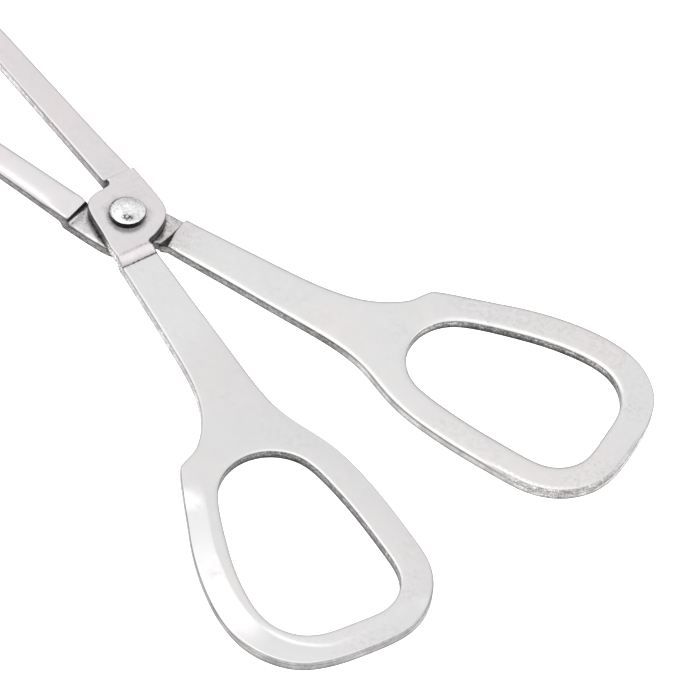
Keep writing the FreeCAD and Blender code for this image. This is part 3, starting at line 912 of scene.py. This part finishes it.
def steel(name, tint=(0.712, 0.713, 0.712), blush=(0.738, 0.715, 0.717), rough=0.20, stain=0.35):
    m, nt, b = new_mat(name)
    q = Net(nt)
    wall = q.attr("wall")
    # face colour: broad faint patches, fine mottling, sparse specks
    patches = q.grey(q.noise(0.045, 3, 0.5, 0.6), [(0.42, 0.0), (0.62, 1.0)])
    col = q.mix(patches, tint + (1,), blush + (1,))
    fine = q.grey(q.noise(0.55, 5, 0.6), [(0.30, 0.975), (0.70, 1.0)])
    col = q.mix(1.0, col, fine, "MULTIPLY")
    vor = q.add("ShaderNodeTexVoronoi", feature="F1")
    vor.inputs["Scale"].default_value = 0.42
    vor.inputs["Randomness"].default_value = 1.0
    q.link(q.coords((1000, 1000, 1000)), vor.inputs["Vector"])
    pick = q.grey(vor.outputs["Color"], [(0.24, 1.0), (0.30, 0.0)])
    spot = q.grey(vor.outputs["Distance"], [(0.05, 1.0), (0.14, 0.0)])
    pits = q.math("MULTIPLY", spot, pick)
    cloud = q.math("MAXIMUM", q.math("MULTIPLY", q.grey(q.noise(0.10, 3, 0.6), [(0.50, 0.0), (0.66, 1.0)]), 0.45), q.attr("cloud"))
    pits = q.math("MULTIPLY", pits, q.math("ADD", q.math("MULTIPLY", cloud, 0.85), 0.15))
    blot = q.math("MULTIPLY", q.grey(q.noise(0.8, 5, 0.7), [(0.46, 0.0), (0.60, 1.0)]), cloud)
    col = q.mix(q.math("MULTIPLY", blot, 0.34), col, (0.53, 0.50, 0.50, 1))
    near_stain = q.math("MULTIPLY", pits, stain)
    col = q.mix(near_stain, col, (0.30, 0.29, 0.29, 1))
    # the plate and the arm take a faint warm cast, and the ring round the rivet is painted a little paler: painted
    # light against the shade round the head
    col = q.mix(1.0, col, q.ramp(q.attr("fore"), [(0.0, (1.0, 1.0, 1.0, 1)), (1.0, (1.040, 1.008, 1.022, 1))]), "MULTIPLY")
    col = q.mix(1.0, col, q.ramp(q.attr("neck"), [(0.0, (1.0, 1.0, 1.0, 1)), (1.0, (1.045, 1.070, 1.070, 1))]), "MULTIPLY")
    col = q.mix(1.0, col, q.grey(q.attr("matte"), [(0.0, 1.0), (1.0, 1.06)]), "MULTIPLY")
    # painted shade in creases, steps, under the other plate and round the rivet, with real stains, broken up by the
    # surface's grain
    g = q.attr("grime_and_shade")
    speck = q.noise(2.6, 4, 0.68)
    smear = q.noise(0.75, 4, 0.6)
    broken = q.math("ADD", q.math("MULTIPLY", speck, 5.0), q.math("MULTIPLY", smear, 2.5))
    broken = q.math("SUBTRACT", broken, 2.85)
    gm = q.math("MULTIPLY", g, broken, True)
    solid_dark = q.math("MULTIPLY", q.math("SUBTRACT", g, 0.55), 2.2, True)
    gm = q.math("MAXIMUM", gm, solid_dark)
    dirt_and_shade = q.ramp(q.noise(0.9, 3, 0.5), [(0.35, (0.055, 0.048, 0.044, 1)), (0.65, (0.12, 0.100, 0.090, 1))])
    col = q.mix(gm, col, dirt_and_shade)
    # sheared wall colour: smeared lengthways in thin layers, with torn specks
    # the wall tone carries painted shade: darker towards the lower arris, in the holes and in the notch corners
    tone = q.attr("tone")
    streak = q.noise(1.6, 4, 0.6, 0.0, (420, 420, 2600))
    grain = q.noise(2.6, 4, 0.75)
    ta = q.attr("torn")
    torn = q.grey(streak, [(0.34, 0.40), (0.50, 1.0), (0.64, 1.65)])
    torn = q.mix(1.0, torn, q.grey(grain, [(0.36, 0.22), (0.50, 0.95), (0.62, 1.9)]), "MULTIPLY")
    torn = q.mix(ta, (0.96, 0.96, 0.96, 1), torn)
    soft_torn = q.grey(q.noise(0.35, 3, 0.6), [(0.35, 0.78), (0.62, 1.16)])
    torn = q.mix(1.0, torn, soft_torn, "MULTIPLY")
    wcol = q.mix(1.0, q.grey(tone, [(0.0, 0.0), (1.0, 1.0)]), torn, "MULTIPLY")
    wcol = q.mix(1.0, wcol, (1.0, 0.978, 0.968, 1), "MULTIPLY")
    wfac = q.math("MULTIPLY", wall, 1.0, True)
    col = q.mix(wfac, col, wcol)
    q.link(col, b.inputs["Base Color"])
    dull = q.attr("matte")
    q.link(q.math("SUBTRACT", 1.0, q.math("MULTIPLY", dull, 0.70)), b.inputs["Metallic"])
    # roughness
    r1 = q.noise(0.30, 4, 0.6)
    r2 = q.noise(5.0, 3, 0.6, 0.0, (200, 1000, 1000))
    ro = q.math("ADD", q.math("MULTIPLY", r1, 0.12), q.math("MULTIPLY", r2, 0.05))
    ro = q.math("ADD", ro, rough - 0.085)
    ro = q.math("ADD", ro, q.math("MULTIPLY", pits, 0.25))
    ro = q.math("ADD", ro, q.math("MULTIPLY", gm, 0.30))
    ro = q.math("ADD", ro, q.math("MULTIPLY", dull, 0.10))
    rw = q.math("ADD", q.math("MULTIPLY", streak, 0.25), 0.28)
    mixr = q.add("ShaderNodeMix", data_type="FLOAT")
    q.link(wfac, mixr.inputs[0])
    q.link(ro, mixr.inputs[2])
    q.link(rw, mixr.inputs[3])
    q.link(mixr.outputs[0], b.inputs["Roughness"])
    # relief: orange-peel of the tumbled surface, pits, and the torn wall
    peel = q.math("MULTIPLY", q.noise(0.9, 3, 0.5), 0.18)
    micro = q.math("MULTIPLY", q.noise(4.0, 3, 0.6), 0.07)
    h = q.math("ADD", peel, micro)
    h = q.math("SUBTRACT", h, q.math("MULTIPLY", pits, 0.8))
    hw = q.math("ADD", q.math("MULTIPLY", streak, 2.6), q.math("MULTIPLY", grain, 3.2))
    hw = q.math("MULTIPLY", hw, q.math("ADD", q.math("MULTIPLY", ta, 0.8), 0.2))
    mh = q.add("ShaderNodeMix", data_type="FLOAT")
    q.link(wfac, mh.inputs[0])
    q.link(h, mh.inputs[2])
    q.link(hw, mh.inputs[3])
    bump = q.add("ShaderNodeBump")
    bump.inputs["Strength"].default_value = 1.0
    bump.inputs["Distance"].default_value = 0.00001
    q.link(mh.outputs[0], bump.inputs["Height"])
    q.link(bump.outputs["Normal"], b.inputs["Normal"])
    return m


def rivet_steel(name):
    m, nt, b = new_mat(name)
    q = Net(nt)
    wall = q.attr("wall")
    n1 = q.noise(1.3, 5, 0.65)
    col = q.ramp(n1, [(0.36, (0.68, 0.685, 0.68, 1)), (0.50, (0.89, 0.895, 0.89, 1)), (0.62, (0.96, 0.945, 0.95, 1))])
    # the rings marked wall (the head's side, the shank and the tail's rim) are painted near black: painted shade of
    # the gap under the head
    dark = q.ramp(q.noise(2.2, 4, 0.7), [(0.40, (0.010, 0.009, 0.009, 1)), (0.60, (0.028, 0.026, 0.025, 1)), (0.72, (0.14, 0.13, 0.13, 1))])
    col = q.mix(q.grey(wall, [(0.5, 0.0), (1.0, 1.0)]), col, dark)
    chip = q.noise(2.4, 4, 0.7)
    # the struck mark, plus painted shade along one side of the dome's shoulder
    mark_and_shade = q.math("MULTIPLY", q.attr("grime_and_shade"), q.math("SUBTRACT", q.math("MULTIPLY", chip, 8.0), 3.0, True), True)
    col = q.mix(mark_and_shade, col, (0.060, 0.058, 0.056, 1))
    flecks = q.grey(q.noise(3.2, 3, 0.6), [(0.64, 1.0), (0.71, 0.62)])
    col = q.mix(1.0, col, flecks, "MULTIPLY")
    q.link(col, b.inputs["Base Color"])
    b.inputs["Metallic"].default_value = 1.0
    ro = q.math("ADD", q.math("MULTIPLY", q.noise(1.8, 4, 0.6), 0.12), 0.05)
    q.link(ro, b.inputs["Roughness"])
    hgt = q.math("ADD", q.math("MULTIPLY", q.noise(0.95, 2, 0.5), 8.0), q.math("MULTIPLY", q.noise(2.8, 3, 0.6), 2.8))
    bump = q.add("ShaderNodeBump")
    bump.inputs["Strength"].default_value = 1.0
    bump.inputs["Distance"].default_value = 0.00001
    q.link(hgt, bump.inputs["Height"])
    q.link(bump.outputs["Normal"], b.inputs["Normal"])
    return m


# ---------------------------------------------------------------- object
PLAIN = {"roll_w": 0.55, "roll_d": 0.27, "hole_w": 0.55, "hole_d": 0.26}
UP_TOP = {"roll_w": 0.60, "roll_d": 0.27, "tight": (0.65, 56.0, 8.0), "hole_w": 0.60, "hole_d": 0.25, "fields": [rail_facet],
          "bevel": (bevel_upper, 0.42, 0.24, 0.52), "grime_and_shade": upper_painted_shade}
UP_LOW = dict(PLAIN, grime_and_shade=shut_painted_shade_and_stain)
LOW_TOP = {"roll_w": 1.05, "roll_d": 0.34, "tight": (0.70, 96.0, 9.0), "hole_w": 1.20, "hole_d": 0.40, "fields": [arm_crown],
           "bevel": (bevel_lower, 0.88, 0.50, 0.56), "grime_and_shade": shut_painted_shade_and_stain}
LOW_LOW = dict(PLAIN, grime_and_shade=upper_painted_shade)

upper = build_lever("upper_lever_steel", -1, BORE_RUN_R, 101, (UP_TOP, UP_LOW), False)
lower = build_lever("lower_lever_steel", +1, SHANK_R, 202, (LOW_LOW, LOW_TOP), True)
rivet = build_rivet("pivot_rivet_steel")

up_mat = steel("upper lever polished steel")
low_mat = steel("lower lever polished steel", (0.768, 0.767, 0.766), (0.796, 0.769, 0.767), 0.22, 0.55)
riv_mat = rivet_steel("rivet bright steel")
upper.data.materials.append(up_mat)
lower.data.materials.append(low_mat)
rivet.data.materials.append(riv_mat)

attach(upper, "upper_body")
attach(lower, "lower_body")
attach(rivet, "lower_body")
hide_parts("upper_lever")
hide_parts("lower_lever")
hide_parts("pivot_rivet")

# ---------------------------------------------------------------- floor, light, camera
bpy.ops.mesh.primitive_plane_add(size=12.0, location=(0, 0, -0.0312))
floor = bpy.context.object
floor.name = "floor"
fm, fnt, fb = new_mat("pale floor")
fq = Net(fnt)
fcol = fq.ramp(fq.noise(0.004, 3, 0.5), [(0.3, (0.93, 0.93, 0.93, 1)), (0.7, (0.95, 0.95, 0.95, 1))])
fq.link(fcol, fb.inputs["Base Color"])
fb.inputs["Roughness"].default_value = 0.9
fb.inputs["Emission Color"].default_value = (1, 1, 1, 1)
fb.inputs["Emission Strength"].default_value = 0.72
floor.data.materials.append(fm)

world = bpy.data.worlds.new("studio")
bpy.context.scene.world = world
world.use_nodes = True
wn = world.node_tree
wn.nodes.clear()
wq = Net(wn)
wout = wn.nodes.new("ShaderNodeOutputWorld")
bg = wn.nodes.new("ShaderNodeBackground")
wn.links.new(bg.outputs[0], wout.inputs[0])
tc = wn.nodes.new("ShaderNodeTexCoord")
sep = wn.nodes.new("ShaderNodeSeparateXYZ")
wn.links.new(tc.outputs["Generated"], sep.inputs[0])
sky = wq.grey(sep.outputs["Z"], [(0.0, 0.22), (0.15, 0.30), (0.38, 0.66), (0.60, 0.91), (0.73, 0.965), (0.84, 0.965), (1.0, 0.965)])
# the studio is a little brighter on one side, and has three soft panels
dot = wn.nodes.new("ShaderNodeVectorMath")
dot.operation = "DOT_PRODUCT"
wn.links.new(tc.outputs["Generated"], dot.inputs[0])
dot.inputs[1].default_value = (0.77, 0.64, 0.0)
side_light = wq.grey(wq.math("ADD", wq.math("MULTIPLY", dot.outputs["Value"], 0.5), 0.5), [(0.25, 0.96), (0.49, 0.985), (0.51, 1.0), (0.58, 1.03), (0.75, 1.04)])
sky = wq.mix(1.0, sky, side_light, "MULTIPLY")
for panel, lo, hi, amount in (((0.310, -0.270, 0.912), 0.972, 0.990, 0.27), ((0.420, -0.120, 0.900), 0.968, 0.990, 0.45),
                              ((-0.360, -0.470, 0.800), 0.945, 0.982, 0.34)):
    d3 = wn.nodes.new("ShaderNodeVectorMath")
    d3.operation = "DOT_PRODUCT"
    wn.links.new(tc.outputs["Generated"], d3.inputs[0])
    d3.inputs[1].default_value = Vector(panel).normalized()
    sky = wq.mix(1.0, sky, wq.grey(d3.outputs["Value"], [(lo, 0.0), (hi, amount)]), "ADD")
wn.links.new(sky, bg.inputs["Color"])
bg.inputs["Strength"].default_value = 1.0


def area(name, loc, target, size, power):
    l = bpy.data.lights.new(name, "AREA")
    l.shape = "RECTANGLE"
    l.size, l.size_y = size
    l.energy = power
    o = bpy.data.objects.new(name, l)
    bpy.context.scene.collection.objects.link(o)
    o.location = loc
    o.rotation_euler = (Vector(target) - Vector(loc)).to_track_quat("-Z", "Y").to_euler()
    return o


area("softbox above", (-0.05, 0.05, 1.3), (0, 0, 0), (1.0, 1.0), 0.9)

# camera: its place in the tongs' frame, its roll, and its long lens
cam_data = bpy.data.cameras.new("camera")
cam_data.sensor_width = 36.0
cam_data.lens = 36.0 * 3711.55 / 700.0
cam_data.clip_start = 0.01
cam_data.clip_end = 50.0
cam = bpy.data.objects.new("camera", cam_data)
bpy.context.scene.collection.objects.link(cam)
eye = Vector((-0.3853, 0.3773, 0.6152 + 0.00125))
aim = Vector((-0.0586, -0.01175, 0.00125))
fwd = (aim - eye).normalized()
right0 = fwd.cross(Vector((0, 0, 1))).normalized()
up0 = right0.cross(fwd)
roll = math.radians(7.644)
right = right0 * math.cos(roll) + up0 * math.sin(roll)
up = -right0 * math.sin(roll) + up0 * math.cos(roll)
cam.matrix_world = Matrix((
    (right.x, up.x, -fwd.x, eye.x),
    (right.y, up.y, -fwd.y, eye.y),
    (right.z, up.z, -fwd.z, eye.z),
    (0, 0, 0, 1)))
bpy.context.scene.camera = cam
bpy.context.scene.view_settings.view_transform = "Standard"
bpy.context.scene.view_settings.look = "None"
